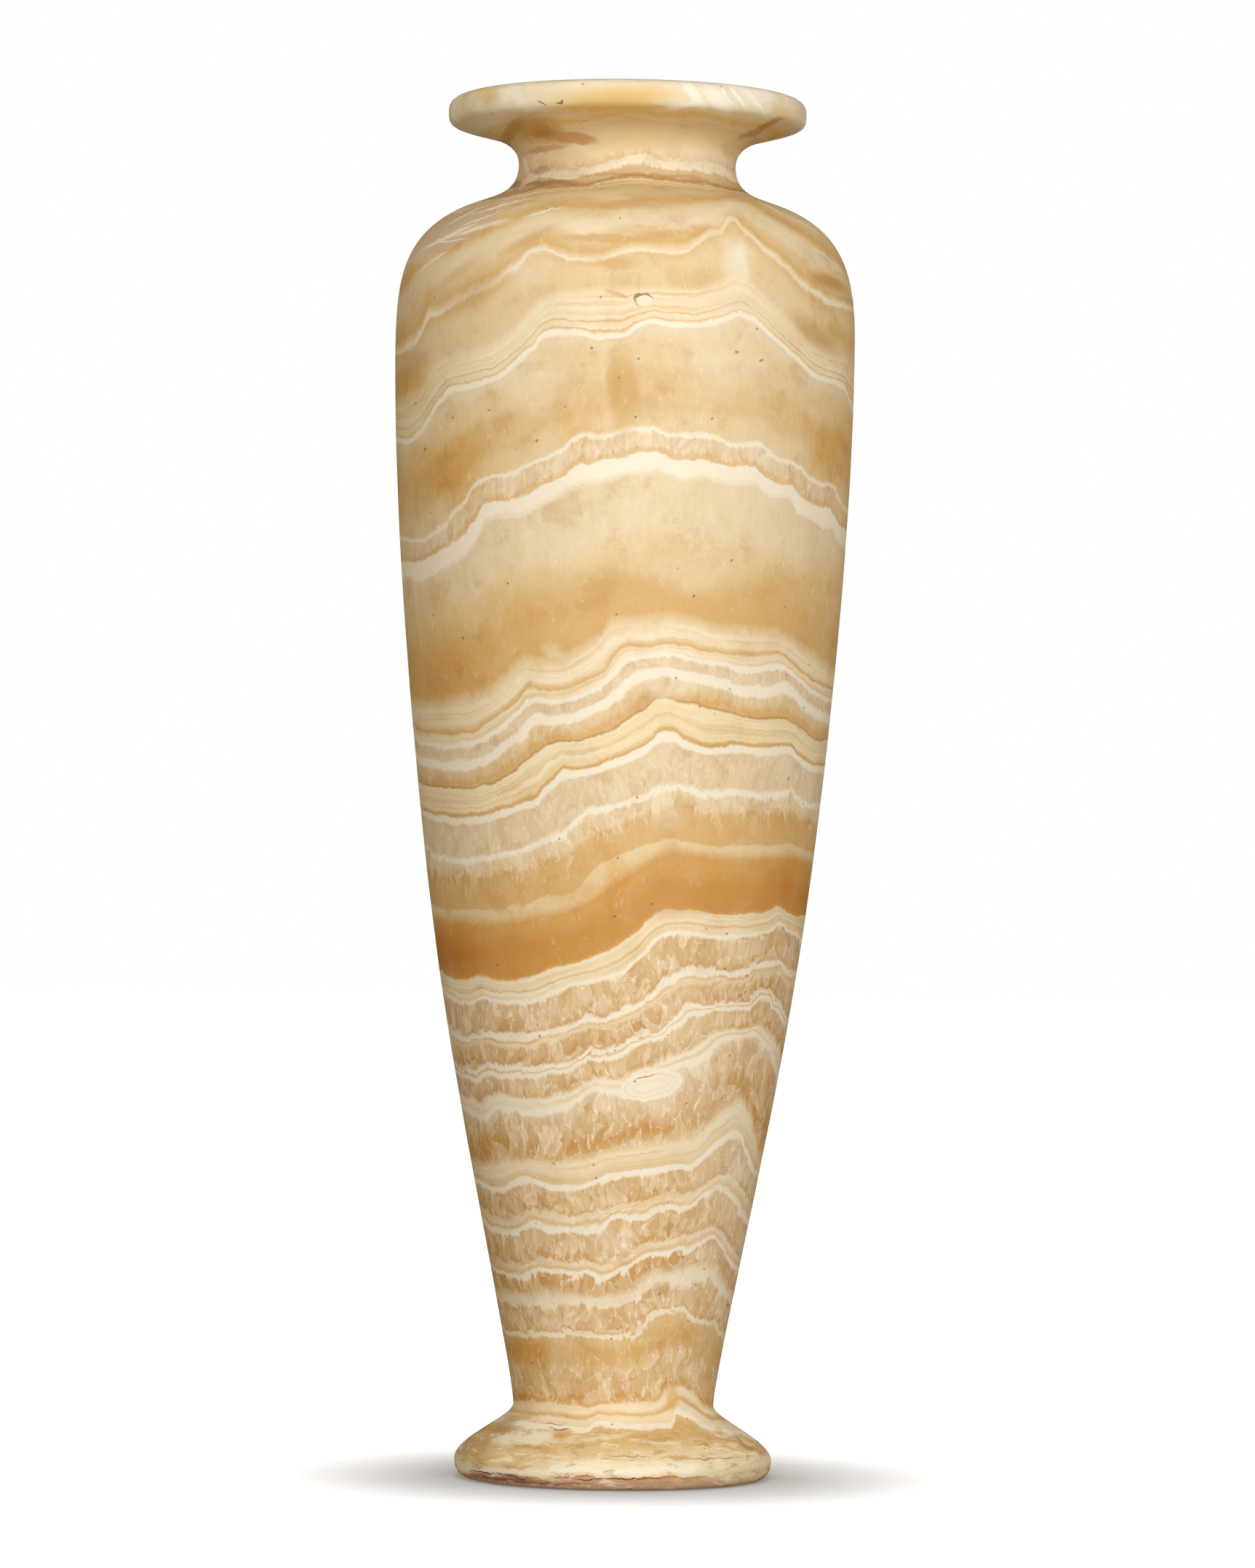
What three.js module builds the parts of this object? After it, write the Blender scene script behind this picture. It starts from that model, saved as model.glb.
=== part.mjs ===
// Tall alabaster vase, carved and hollowed from one block of banded stone.
// Millimetres, +Z up, origin at the middle of the underside, axis of turning along +Z.
import * as THREE from "three";

// Driving dimensions
const HEIGHT = 520.6;
const WALL = 11;
const NECK_WALL = 10;
const SHOULDER_WALL = 12;
const FLOOR_HEIGHT = 50;
const SIDES = 48;

// Turning points of the outline, going up the outside. heading is the outline's direction there, in degrees
// from outwards (0) through upwards (90) to inwards (180). before and after say how far the curve keeps to
// that direction on each side of the point, and facets how many flats lead up to it.
const REST_EDGE = { radius: 55.4, height: 0, heading: 0, before: 0, after: 0.8, facets: 1 };
const FOOT = { radius: 59.9, height: 6.7, heading: 90, before: 5.8, after: 7.5, facets: 4 };
const WAIST = { radius: 37.9, height: 27.2, heading: 90, before: 5.1, after: 5, facets: 9 };
const LOWER_BODY = { radius: 43.1, height: 58.7, heading: 79, before: 5.8, after: 67, facets: 4 };
const MIDDLE_BODY = { radius: 74.1, height: 240, heading: 83.4, before: 71.3, after: 57.1, facets: 6 };
const BELLY = { radius: 87, height: 426.5, heading: 90, before: 59.6, after: 25, facets: 6 };
const SHOULDER = { radius: 60, height: 479.1, heading: 159.5, before: 25.9, after: 10.1, facets: 8 };
const NECK = { radius: 41.1, height: 495.5, heading: 90, before: 10.9, after: 8.8, facets: 6 };
const UNDER_RIM = { radius: 57.6, height: 508, heading: 15.2, before: 5.6, after: 10.2, facets: 6 };
const LIP = { radius: 67.8, height: 515.8, heading: 90, before: 6.1, after: 2.9, facets: 5 };
const RIM_TOP = { radius: 61.5, height: HEIGHT, heading: 180, before: 3.9, after: 0, facets: 4 };

// The mouth: a flat rim top, a rounded inner edge and a drilled bore through the neck.
const BORE_RADIUS = NECK.radius - NECK_WALL;
const MOUTH_ROUNDING = 6;
const BORE_END = 487;

// How long a curve's handles are on a quarter circle, as a share of its radius.
const QUARTER_CIRCLE = 0.5523;

const directionOf = (knot) => {
  const angle = THREE.MathUtils.degToRad(knot.heading);
  return new THREE.Vector2(Math.cos(angle), Math.sin(angle));
};

// The same turning point on the inside of a wall, passed on the way down.
const insideOf = (knot, wall, before, after, facets) => {
  const along = directionOf(knot);
  return {
    radius: knot.radius - wall * along.y,
    height: knot.height + wall * along.x,
    heading: knot.heading + 180,
    before,
    after,
    facets,
  };
};

// Turning points going down the inside, from the rim's top to the middle of the floor.
const MOUTH_EDGE = {
  radius: BORE_RADIUS + MOUTH_ROUNDING,
  height: HEIGHT,
  heading: 180,
  before: 0,
  after: QUARTER_CIRCLE * MOUTH_ROUNDING,
  facets: 1,
};
const BORE_TOP = {
  radius: BORE_RADIUS,
  height: HEIGHT - MOUTH_ROUNDING,
  heading: 270,
  before: QUARTER_CIRCLE * MOUTH_ROUNDING,
  after: 0,
  facets: 3,
};
const BORE_FOOT = { radius: BORE_RADIUS, height: BORE_END, heading: 270, before: 0, after: 9, facets: 1 };
const INNER_SHOULDER = insideOf(SHOULDER, SHOULDER_WALL, 11, 20, 5);
const INNER_BELLY = insideOf(BELLY, WALL, 21, 57, 6);
const INNER_MIDDLE = insideOf(MIDDLE_BODY, WALL, 57, 50, 4);
const INNER_LOWER = { radius: 39, height: 98, heading: 258, before: 50, after: 34, facets: 4 };
const FLOOR = { radius: 0, height: FLOOR_HEIGHT, heading: 180, before: 26, after: 0, facets: 6 };

const TURNING_POINTS = [
  REST_EDGE,
  FOOT,
  WAIST,
  LOWER_BODY,
  MIDDLE_BODY,
  BELLY,
  SHOULDER,
  NECK,
  UNDER_RIM,
  LIP,
  RIM_TOP,
  MOUTH_EDGE,
  BORE_TOP,
  BORE_FOOT,
  INNER_SHOULDER,
  INNER_BELLY,
  INNER_MIDDLE,
  INNER_LOWER,
  FLOOR,
];

// The half section, from the middle of the underside round the wall to the middle of the floor.
function halfSection() {
  const points = [new THREE.Vector2(0, 0), new THREE.Vector2(REST_EDGE.radius, 0)];
  TURNING_POINTS.slice(1).forEach((to, i) => {
    const from = TURNING_POINTS[i];
    const start = new THREE.Vector2(from.radius, from.height);
    const end = new THREE.Vector2(to.radius, to.height);
    const curve = new THREE.CubicBezierCurve(
      start,
      start.clone().addScaledVector(directionOf(from), from.after),
      end.clone().addScaledVector(directionOf(to), -to.before),
      end,
    );
    points.push(...curve.getPoints(to.facets).slice(1));
  });
  return points;
}

function makeVase() {
  const alabaster = new THREE.MeshStandardMaterial({
    color: "#d9b987",
    roughness: 0.32,
    metalness: 0,
  });
  const mesh = new THREE.Mesh(new THREE.LatheGeometry(halfSection(), SIDES), alabaster);
  mesh.name = "vase";
  mesh.rotation.x = Math.PI / 2;
  return mesh;
}

const alabasterVase = new THREE.Group();
alabasterVase.add(makeVase());

export default alabasterVase;
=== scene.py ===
"""A tall alabaster vase on a white studio table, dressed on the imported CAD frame."""

import math

import bpy
from mathutils import Matrix, Vector


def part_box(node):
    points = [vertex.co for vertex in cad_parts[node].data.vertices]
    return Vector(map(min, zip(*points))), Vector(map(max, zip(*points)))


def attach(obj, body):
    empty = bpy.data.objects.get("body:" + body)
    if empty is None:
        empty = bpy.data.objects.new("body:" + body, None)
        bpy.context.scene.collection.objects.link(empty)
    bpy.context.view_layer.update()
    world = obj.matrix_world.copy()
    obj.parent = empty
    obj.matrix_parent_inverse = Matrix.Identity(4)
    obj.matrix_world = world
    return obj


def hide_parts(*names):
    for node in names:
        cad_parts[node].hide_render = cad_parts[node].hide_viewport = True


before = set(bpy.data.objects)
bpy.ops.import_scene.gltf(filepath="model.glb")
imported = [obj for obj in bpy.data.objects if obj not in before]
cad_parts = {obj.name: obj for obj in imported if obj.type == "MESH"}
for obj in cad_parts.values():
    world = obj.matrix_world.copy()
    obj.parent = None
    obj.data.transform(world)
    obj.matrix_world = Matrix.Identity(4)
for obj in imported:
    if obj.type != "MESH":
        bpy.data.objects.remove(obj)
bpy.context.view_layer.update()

# The vase is one block of banded alabaster: it was roughed out and hollowed with a stone drill, turned and
# rubbed smooth by hand, and left without any carving. Its outline is round all the way up, with a spreading
# foot, a narrow waist, a long body that swells to a high belly, a short neck and a flat, thick rim.
low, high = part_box("vase")
OUTLINE_HEIGHT = 520.6
MM = (high.z - low.z) / OUTLINE_HEIGHT
SIDES = 176
OUTSIDE_STEP = 1.9
INSIDE_STEP = 4.5
HAND_WORK = 0.22

# Turning points of the outline in millimetres, going up the outside: radius, height, heading in degrees from
# outwards (0) through upwards (90) to inwards (180), and how far the curve keeps to it before and after.
OUTSIDE = [
    (55.4, 0, 0, 0, 0.8),
    (59.9, 6.7, 90, 5.8, 7.5),
    (37.9, 27.2, 90, 5.1, 5),
    (43.1, 58.7, 79, 5.8, 67),
    (74.1, 240, 83.4, 71.3, 57.1),
    (87, 426.5, 90, 59.6, 25),
    (60, 479.1, 159.5, 25.9, 10.1),
    (41.1, 495.5, 90, 10.9, 8.8),
    (57.6, 508, 15.2, 5.6, 10.2),
    (67.8, 515.8, 90, 6.1, 2.9),
    (61.5, 520.6, 180, 3.9, 0),
    (37.1, 520.6, 180, 0, 3.31),
    (31.1, 514.6, 270, 3.31, 0),
]
INSIDE = [
    (31.1, 514.6, 270, 3.31, 0),
    (31.1, 487, 270, 0, 9),
    (55.8, 467.9, 339.5, 11, 20),
    (76, 426.5, 270, 21, 57),
    (63.2, 241.3, 263.4, 57, 50),
    (39, 98, 258, 50, 34),
    (0, 50, 180, 26, 0),
]


def along(points, step):
    """The curve through the turning points, as points a step apart."""
    curve = []
    for (r0, z0, a0, _, after), (r1, z1, a1, before, _) in zip(points, points[1:]):
        start, end = Vector((r0, z0)), Vector((r1, z1))
        leave = start + after * Vector((math.cos(math.radians(a0)), math.sin(math.radians(a0))))
        arrive = end - before * Vector((math.cos(math.radians(a1)), math.sin(math.radians(a1))))
        count = max(2, math.ceil((end - start).length / step))
        for i in range(count):
            t = i / count
            s = 1 - t
            curve.append(s**3 * start + 3 * s * s * t * leave + 3 * s * t * t * arrive + t**3 * end)
    curve.append(Vector(points[-1][:2]))
    return curve


def worked(angle, height):
    """How far the rubbing stone went in there, which leaves the surface a little uneven."""
    slow = math.sin(2 * angle + 0.021 * height) + math.sin(3 * angle - 0.034 * height + 1.7)
    quick = math.sin(7 * angle + 0.11 * height + 0.6) + math.sin(5 * angle - 0.19 * height)
    fade = min(1, height / 8) * min(1, (OUTLINE_HEIGHT - height) / 5)
    return HAND_WORK * fade * (0.5 + 0.16 * slow + 0.09 * quick)


def turned(name, section):
    """A closed solid of revolution from its half section, which starts and ends on the axis."""
    corners, faces = [(0, 0, section[0].y * MM)], []
    for point in section[1:-1]:
        for side in range(SIDES):
            angle = 2 * math.pi * side / SIDES
            r = max(0, point.x - worked(angle, point.y))
            corners.append((r * math.cos(angle) * MM, r * math.sin(angle) * MM, point.y * MM))
    corners.append((0, 0, section[-1].y * MM))
    last_ring = len(corners) - 1 - SIDES
    for side in range(SIDES):
        beside = (side + 1) % SIDES
        faces.append((0, 1 + beside, 1 + side))
        for ring in range(1, last_ring, SIDES):
            faces.append((ring + side, ring + beside, ring + SIDES + beside, ring + SIDES + side))
        faces.append((last_ring + side, last_ring + beside, len(corners) - 1))
    mesh = bpy.data.meshes.new(name)
    mesh.from_pydata(corners, [], faces)
    mesh.shade_smooth()
    made = bpy.data.objects.new(name, mesh)
    bpy.context.collection.objects.link(made)
    return made


underside = [Vector((r, 0)) for r in (0, 18, 36, 50)]
vase = turned("banded_vase", underside + along(OUTSIDE, OUTSIDE_STEP)[:-1] + along(INSIDE, INSIDE_STEP))


class Wire:
    """A value, colour or vector in the stone's finish, on which sums are written as on numbers."""

    def __init__(self, finish, socket):
        self.finish, self.socket = finish, socket

    def sum(self, operation, first, second):
        return self.finish.node("Math", {"operation": operation}, {0: first, 1: second})

    def __add__(self, other):
        return self.sum("ADD", self, other)

    def __radd__(self, other):
        return self.sum("ADD", other, self)

    def __sub__(self, other):
        return self.sum("SUBTRACT", self, other)

    def __rsub__(self, other):
        return self.sum("SUBTRACT", other, self)

    def __mul__(self, other):
        return self.sum("MULTIPLY", self, other)

    def __rmul__(self, other):
        return self.sum("MULTIPLY", other, self)

    def __truediv__(self, other):
        return self.sum("DIVIDE", self, other)


def paint(red, green, blue, alpha=1.0):
    """A colour as the eye names it, 0 to 255, turned into the shader's light values."""
    def light(share):
        return share / 12.92 if share <= 0.04045 else ((share + 0.055) / 1.055) ** 2.4
    return (light(red / 255), light(green / 255), light(blue / 255), alpha)


class Finish:
    """A material, or the room's light, whose nodes are all made by one method."""

    def __init__(self, owner):
        self.owner = owner
        owner.use_nodes = True
        self.tree = owner.node_tree
        self.tree.nodes.clear()

    def node(self, kind, settings, sockets, output=0):
        made = self.tree.nodes.new("ShaderNode" + kind)
        for name, value in settings.items():
            if name == "stops":
                band = made.color_ramp.elements
                band[0].position, band[0].color = value[0]
                band[1].position, band[1].color = value[-1]
                for place, colour in value[1:-1]:
                    band.new(place).color = colour
            elif name == "curve":
                line = made.mapping.curves[0].points
                line[0].location, line[1].location = value[0], value[-1]
                for place in value[1:-1]:
                    line.new(*place)
                made.mapping.extend = "HORIZONTAL"
                for point in line:
                    point.handle_type = "AUTO_CLAMPED"
                made.mapping.update()
            else:
                setattr(made, name, value)
        for name, value in sockets.items():
            if isinstance(value, Wire):
                self.tree.links.new(value.socket, made.inputs[name])
            else:
                made.inputs[name].default_value = value
        return Wire(self, made.outputs[output]) if made.outputs else None

    def mix(self, under, over, share, way="MIX"):
        """One colour laid over another, wherever share says."""
        settings = {"data_type": "RGBA", "blend_type": way, "clamp_factor": True}
        return self.node("Mix", settings, {0: share, 6: under, 7: over}, 2)

    def ease(self, value, start, end, low=0.0, high=1.0):
        """A soft step from low to high as value goes from start to end."""
        sockets = {"Value": value, 1: start, 2: end, 3: low, 4: high}
        return self.node("MapRange", {"interpolation_type": "SMOOTHSTEP"}, sockets)

    def patch(self, place, spot, strength, soft=0.6):
        """A leaning oval (x, height, half width, half height, lean) of that strength, fading to 0."""
        x, height, width, tall, lean = spot
        if tall > width:
            width, tall, lean = tall, width, lean + 90
        narrowing = math.sqrt(1 / tall**2 - 1 / width**2)
        lean = math.radians(lean)
        shape = (narrowing * math.cos(lean), 1 / width, narrowing * math.sin(lean))
        from_middle = self.node("VectorMath", {"operation": "SUBTRACT"}, {0: place, 1: (x, 0, height)})
        oval = self.node("VectorMath", {"operation": "CROSS_PRODUCT"}, {0: from_middle, 1: shape})
        far = self.node("VectorMath", {"operation": "LENGTH"}, {0: oval}, 1)
        return self.ease(far, 1, 1 - soft, 0, strength)

    def parts(self, kind, whole):
        """The three numbers in a place (XYZ) or colour (Color)."""
        split = self.node("Separate" + kind, {}, {0: whole}).socket.node
        return [Wire(self, socket) for socket in split.outputs]

    def grain(self, place, size, detail=2.0, roughness=0.5, output=0):
        """Noise whose lumps are about size wide, from 0 to 1."""
        sockets = {"Vector": place, "Scale": 1 / size, "Detail": detail, "Roughness": roughness}
        return self.node("TexNoise", {}, sockets, output)

    def stretch(self, place, across, up):
        """A place whose noise comes out across wide and up tall."""
        factors = (1 / across, 1 / across, 1 / up)
        return self.node("VectorMath", {"operation": "MULTIPLY"}, {0: place, 1: factors})

    def pushed(self, place, lumps, reach):
        """The place moved about by up to half of reach, in lumps of that size."""
        red, green, blue = self.parts("Color", self.grain(place, lumps, 2, 0.5, 1))
        push = self.node("CombineXYZ", {}, {0: red - 0.5, 1: green - 0.5, 2: blue - 0.5})
        return self.node("VectorMath", {"operation": "MULTIPLY_ADD"}, {0: push, 1: reach, 2: place})

    def cells(self, place, across, up):
        """Grains across wide and up tall: how far it is to a grain's middle, and each grain's own number."""
        grains = self.node("TexVoronoi", {}, {"Vector": self.stretch(place, across, up), "Scale": 1.0}, 1)
        return Wire(self, grains.socket.node.outputs[0]), self.parts("Color", grains)[0]


# The beds of the stone. Each line is the top of a bed where it crosses the front of the vase, from left to
# right as (x, height) in millimetres. The beds grew as lobed crusts, so the lines arch and meet in cusps.
BEDS = [
    [(-90, 521), (90, 521)],
    [(-40, 484), (-35, 488), (-30, 488.5), (-25, 487), (-20, 487.5), (-15, 488.5), (-10, 489.5),
     (-5, 491), (0, 492.5), (5, 493), (10, 492), (15, 491.5), (30, 492), (35, 491), (40, 490)],
    [(-45, 478), (-35, 481), (-25, 481.5), (-15, 481.5), (-10, 483.5), (0, 485), (20, 484.5), (40, 483)],
    [(-86, 450), (-75, 461), (-65, 463), (-55, 467), (-45, 471), (-35, 474), (-25, 477), (-15, 477),
     (-8, 475.5), (0, 479), (15, 479), (30, 480), (42, 481), (50, 478), (60, 473), (70, 468), (78, 463),
     (86, 455)],
    [(-86, 423), (-83, 422.7), (-80, 423.5), (-77, 426), (-75, 430), (-73, 434), (-70, 434), (-65, 436),
     (-60, 438.5), (-50, 443), (-45, 446), (-40, 449.5), (-37, 453), (-35, 454.8), (-30, 455.3),
     (-25, 453.3), (-20, 451.5), (-13, 451), (-5, 452.8), (0, 454.5), (5, 455.6), (10, 455.2), (20, 455),
     (23, 456.5), (27, 459.5), (30, 462), (35, 464.5), (37, 468.5), (40, 469), (42, 466.5), (45, 463),
     (50, 458.5), (55, 455), (60, 451), (63, 448), (68, 445), (72, 443), (77, 440.5), (83, 441), (86, 441)],
    [(-86, 403), (-80, 404), (-75, 407), (-72, 413), (-70, 416), (-65, 418), (-60, 419), (-50, 421),
     (-45, 424), (-40, 428), (-36, 432), (-30, 438), (-20, 440), (-10, 441), (0, 441), (20, 441),
     (35, 444), (40, 447), (50, 441), (55, 437), (60, 433), (65, 428), (70, 425), (75, 423), (86, 422)],
    [(-86, 391), (-83, 388.5), (-80, 388), (-78, 389), (-75, 392), (-72, 396), (-70, 399), (-67, 403),
     (-65, 405), (-60, 406), (-50, 408), (-45, 410), (-40, 413.5), (-37, 416), (-33, 420), (-30, 423.5),
     (-25, 424.8), (-20, 424.5), (-10, 423), (-5, 423.2), (0, 424), (5, 427), (10, 428.5), (15, 428.2),
     (20, 427.8), (25, 427.8), (30, 428.5), (35, 430), (38, 431.5), (42, 433), (45, 432), (50, 429.5),
     (53, 427), (57, 424), (60, 421), (65, 417), (70, 413), (73, 412), (77, 411.5), (82, 411), (84, 407),
     (86, 404)],
    [(-84, 353), (-80, 351.5), (-77, 350.5), (-73, 351.5), (-70, 353.5), (-66, 356), (-63, 359),
     (-60, 362), (-58, 365), (-55, 369.5), (-53, 371), (-50, 372), (-45, 373), (-40, 374.5), (-35, 376.5),
     (-30, 378.5), (-25, 380.5), (-20, 384.5), (-16, 387), (-13, 387.5), (-8, 387), (-5, 387.5), (0, 389),
     (5, 389.8), (10, 390), (13, 389.5), (17, 387.5), (20, 387.5), (25, 388), (30, 388.3), (35, 387),
     (40, 385), (45, 385), (50, 386), (53, 383), (57, 380.5), (63, 379.5), (66, 377.5), (70, 374),
     (73, 373), (77, 373.5), (79, 372), (82, 367), (85, 364.5)],
    [(-83, 343.5), (-77, 342.5), (-73, 343), (-70, 344.5), (-65, 347), (-60, 350), (-57, 353), (-54, 357),
     (-51, 361.5), (-50, 362.5), (-46, 363), (-40, 363.5), (-35, 365), (-30, 368), (-25, 370.5),
     (-20, 373.5), (-17, 375.5), (-12, 376.3), (-7, 377.5), (0, 378.3), (4, 380), (8, 380.6), (12, 380.8),
     (15, 379.3), (20, 378.2), (30, 378), (35, 377.3), (40, 376.5), (48, 376.8), (50, 375), (53, 372.5),
     (57, 371), (62, 370.5), (65, 368), (70, 364.5), (74, 363.8), (77, 364), (79, 361), (81, 358.5),
     (84, 357)],
    [(-83, 339), (-80, 338), (-77, 336), (-73, 336.5), (-70, 338), (-65, 341), (-60, 344), (-55, 349),
     (-52, 354), (-50, 357.5), (-46, 359.5), (-40, 359.5), (-35, 361), (-30, 363.5), (-25, 366),
     (-20, 369), (-15, 371), (-10, 372), (-5, 372.5), (0, 374), (10, 375), (13, 376), (17, 374.5),
     (22, 373), (30, 373.5), (40, 372), (48, 372.5), (52, 369), (57, 367.5), (61, 367.5), (65, 362),
     (68, 360.5), (72, 358.5), (76, 357.5), (78, 358.5), (80, 354), (84, 351.5)],
    [(-78, 290), (-75, 288), (-70, 288), (-60, 289), (-50, 291), (-45, 294), (-40, 299), (-37, 302),
     (-35, 303), (-30, 302), (-25, 302), (-20, 303), (-15, 306), (-10, 309.5), (-7, 313), (-5, 316.5),
     (0, 317), (10, 318), (18, 319.5), (22, 318.5), (27, 317.5), (30, 316.5), (35, 315), (40, 315),
     (50, 314.5), (57, 315), (60, 313.5), (65, 311), (70, 308), (75, 304.5), (80, 301.5)],
    [(-78, 283), (-75, 280), (-70, 279), (-65, 278.5), (-55, 279), (-50, 282), (-45, 285), (-40, 289),
     (-37, 292), (-34, 295.5), (-32, 295), (-28, 294), (-22, 294.5), (-15, 296.5), (-10, 299), (-5, 303),
     (-3, 306), (0, 309.5), (3, 311), (8, 310.5), (17, 311.5), (22, 311), (28, 310), (35, 309), (45, 308),
     (55, 309), (60, 308), (63, 306), (67, 303), (70, 301), (75, 298.5), (79, 298)],
    [(-77, 271), (-75, 269), (-70, 267.5), (-65, 266.8), (-60, 266.5), (-55, 267), (-50, 268.5),
     (-45, 271.5), (-40, 276), (-35, 279.5), (-32, 283), (-30, 284), (-27, 283), (-20, 283.5), (-15, 285),
     (-10, 287), (-5, 290), (0, 294), (3, 297.5), (7, 300), (10, 301), (15, 301.5), (20, 301), (25, 300),
     (30, 299), (35, 298), (40, 296.5), (45, 295), (55, 295.5), (60, 297), (63, 296), (67, 292),
     (70, 289.5), (75, 287), (78, 286)],
    [(-77, 263), (-74, 260.5), (-70, 259.5), (-65, 259), (-60, 258.3), (-55, 258.5), (-50, 259.5),
     (-45, 261), (-42, 263), (-38, 265.5), (-35, 268.5), (-30, 272), (-27, 274.5), (-22, 275.3),
     (-17, 275.7), (-12, 277), (-7, 278.8), (-3, 280), (0, 282), (4, 284.5), (8, 288), (11, 290.5),
     (14, 292), (18, 291.5), (22, 290.5), (27, 289.8), (33, 288.5), (40, 287), (45, 285.5), (50, 285),
     (60, 285.7), (64, 284), (68, 281.5), (72, 279), (75, 278), (78, 279)],
    [(-76, 253), (-73, 250.5), (-70, 249.5), (-65, 248.8), (-60, 248), (-50, 248.5), (-45, 250.5),
     (-40, 252), (-35, 254), (-30, 256), (-27, 260), (-24, 263), (-21, 266), (-17, 266), (-12, 266.5),
     (-8, 267.5), (-4, 269), (0, 270.5), (4, 272.5), (8, 274.5), (11, 276.5), (14, 279.5), (17, 280),
     (20, 279.5), (23, 277.5), (27, 276), (31, 274.8), (36, 274.8), (42, 275.5), (55, 275), (60, 276),
     (64, 275), (67, 272), (71, 269.5), (74, 269), (77, 269.5)],
    [(-74, 238), (-71, 235), (-68, 233), (-65, 232), (-60, 231.5), (-50, 231.8), (-45, 233), (-40, 234.5),
     (-35, 235.8), (-30, 237.5), (-25, 239.5), (-20, 242), (-17, 245), (-14, 248), (-11, 250),
     (-6, 250.5), (-1, 252), (4, 253.5), (9, 255), (14, 257.8), (18, 259), (22, 259), (26, 258.2),
     (32, 257.5), (47, 257), (54, 256.5), (60, 257.5), (63, 259), (66, 256.5), (70, 254), (75, 253.5)],
    [(-71, 216), (-68, 214), (-63, 213), (-48, 213), (-43, 213.5), (-40, 214.8), (-34, 215.2), (-30, 217),
     (-25, 218.3), (-20, 219), (-15, 221), (-12, 225), (-8, 229), (-4, 231.5), (0, 234), (5, 236),
     (10, 238), (14, 238.5), (17, 240), (20, 240), (25, 239), (36, 237), (42, 238), (55, 238), (62, 239),
     (68, 237), (72, 236)],
    [(-70, 210), (-60, 209), (-40, 209.5), (-30, 212), (-20, 214), (-12, 217), (-5, 222), (0, 226),
     (5, 229), (10, 232), (15, 235), (20, 236), (30, 235), (40, 234), (50, 234), (60, 235), (70, 233)],
    [(-66, 190), (-64, 188), (-60, 187), (-56, 187), (-53, 188), (-50, 188.7), (-47, 187.5), (-40, 187.3),
     (-35, 188), (-30, 189.5), (-25, 191.5), (-20, 193.3), (-15, 194.3), (-10, 195.5), (-5, 197.5),
     (-2, 199.5), (2, 202), (6, 205), (9, 208.5), (12, 211.5), (15, 213), (18, 213.7), (24, 213.7),
     (38, 212.3), (45, 212.5), (52, 213), (56, 214), (59, 215.5), (61, 214.5), (63, 213.5), (66, 212),
     (69, 212)],
    [(-66, 183), (-63, 180.5), (-60, 178.5), (-56, 178), (-53, 179), (-50, 180), (-46, 179), (-40, 178.7),
     (-35, 179), (-30, 180), (-25, 182), (-20, 184), (-16, 186), (-10, 186.5), (-5, 188), (0, 189.5),
     (3, 191.5), (7, 195), (10, 198), (13, 201.5), (16, 203.8), (20, 205), (25, 205.2), (30, 204.7),
     (40, 203.5), (45, 204), (50, 205), (55, 206), (58, 207.5), (60, 209.5), (62, 207), (65, 205.5),
     (68, 203.5), (69, 202.5)],
    [(-64, 170), (-61, 167.5), (-58, 166.5), (-54, 166.3), (-51, 167), (-48, 168.3), (-44, 167.3),
     (-38, 167.3), (-33, 168), (-24, 169.8), (-20, 171.5), (-15, 173), (-11, 174.5), (-6, 174),
     (-2, 175.5), (2, 178), (5, 179), (9, 181), (13, 184), (16, 187.5), (19, 190.5), (22, 191.7),
     (27, 192.5), (31, 192), (42, 192), (47, 193), (51, 194.3), (57, 196.7), (60, 196), (63, 194),
     (65, 191), (67, 190)],
    [(-64, 167), (-61, 163.5), (-58, 162.5), (-54, 163.3), (-50, 164.3), (-47, 165), (-45, 163.5),
     (-35, 163), (-30, 164), (-26, 166), (-22, 166.3), (-18, 167.5), (-15, 170), (-10, 171), (-5, 171),
     (-2, 172), (1, 173.5), (5, 175), (10, 178), (14, 180.5), (18, 183), (21, 185), (23, 187.5),
     (26, 188), (30, 187), (33, 187.3), (37, 188.3), (41, 187.7), (48, 188.3), (50, 190.5), (54, 191),
     (58, 192), (61, 193), (62, 190), (64, 186.5), (66, 188)],
    [(-62, 156), (-60, 154), (-57, 153.5), (-54, 153), (-51, 153.8), (-49, 155.3), (-46, 155.7),
     (-43, 155), (-32, 155), (-28, 155.5), (-20, 157.5), (-16, 158.5), (-13, 160.5), (-10, 162.3),
     (-6, 162), (-2, 162.5), (1, 163.7), (4, 166), (7, 167), (12, 168), (16, 169.5), (19, 172), (22, 175),
     (25, 178), (28, 179), (32, 178.8), (36, 179), (42, 179.7), (47, 180), (50, 181), (52, 183),
     (55, 184), (57, 183.5), (59, 180.5), (61, 178), (63, 175), (65, 172)],
    [(-61, 152), (-58, 151), (-55, 150), (-52, 149.5), (-50, 151.5), (-47, 152.3), (-45, 151.7),
     (-40, 151.5), (-30, 152), (-26, 153.3), (-21, 154), (-17, 155.5), (-14, 157), (-11, 158.5),
     (-8, 158.3), (-4, 159), (0, 160), (3, 162), (6, 163.5), (14, 166.3), (18, 168), (20, 170), (23, 172),
     (26, 175), (30, 176), (35, 177), (46, 177.7), (49, 178), (52, 180.5), (55, 181.5), (57, 181),
     (58, 178), (60, 176), (62, 172)],
    [(-59, 144), (-57, 142.5), (-54, 142.3), (-51, 141.3), (-49, 142), (-46, 144), (-42, 144.5),
     (-31, 143.7), (-26, 144), (-22, 145), (-18, 146.5), (-14, 148.5), (-10, 150.5), (-7, 151.5),
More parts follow.
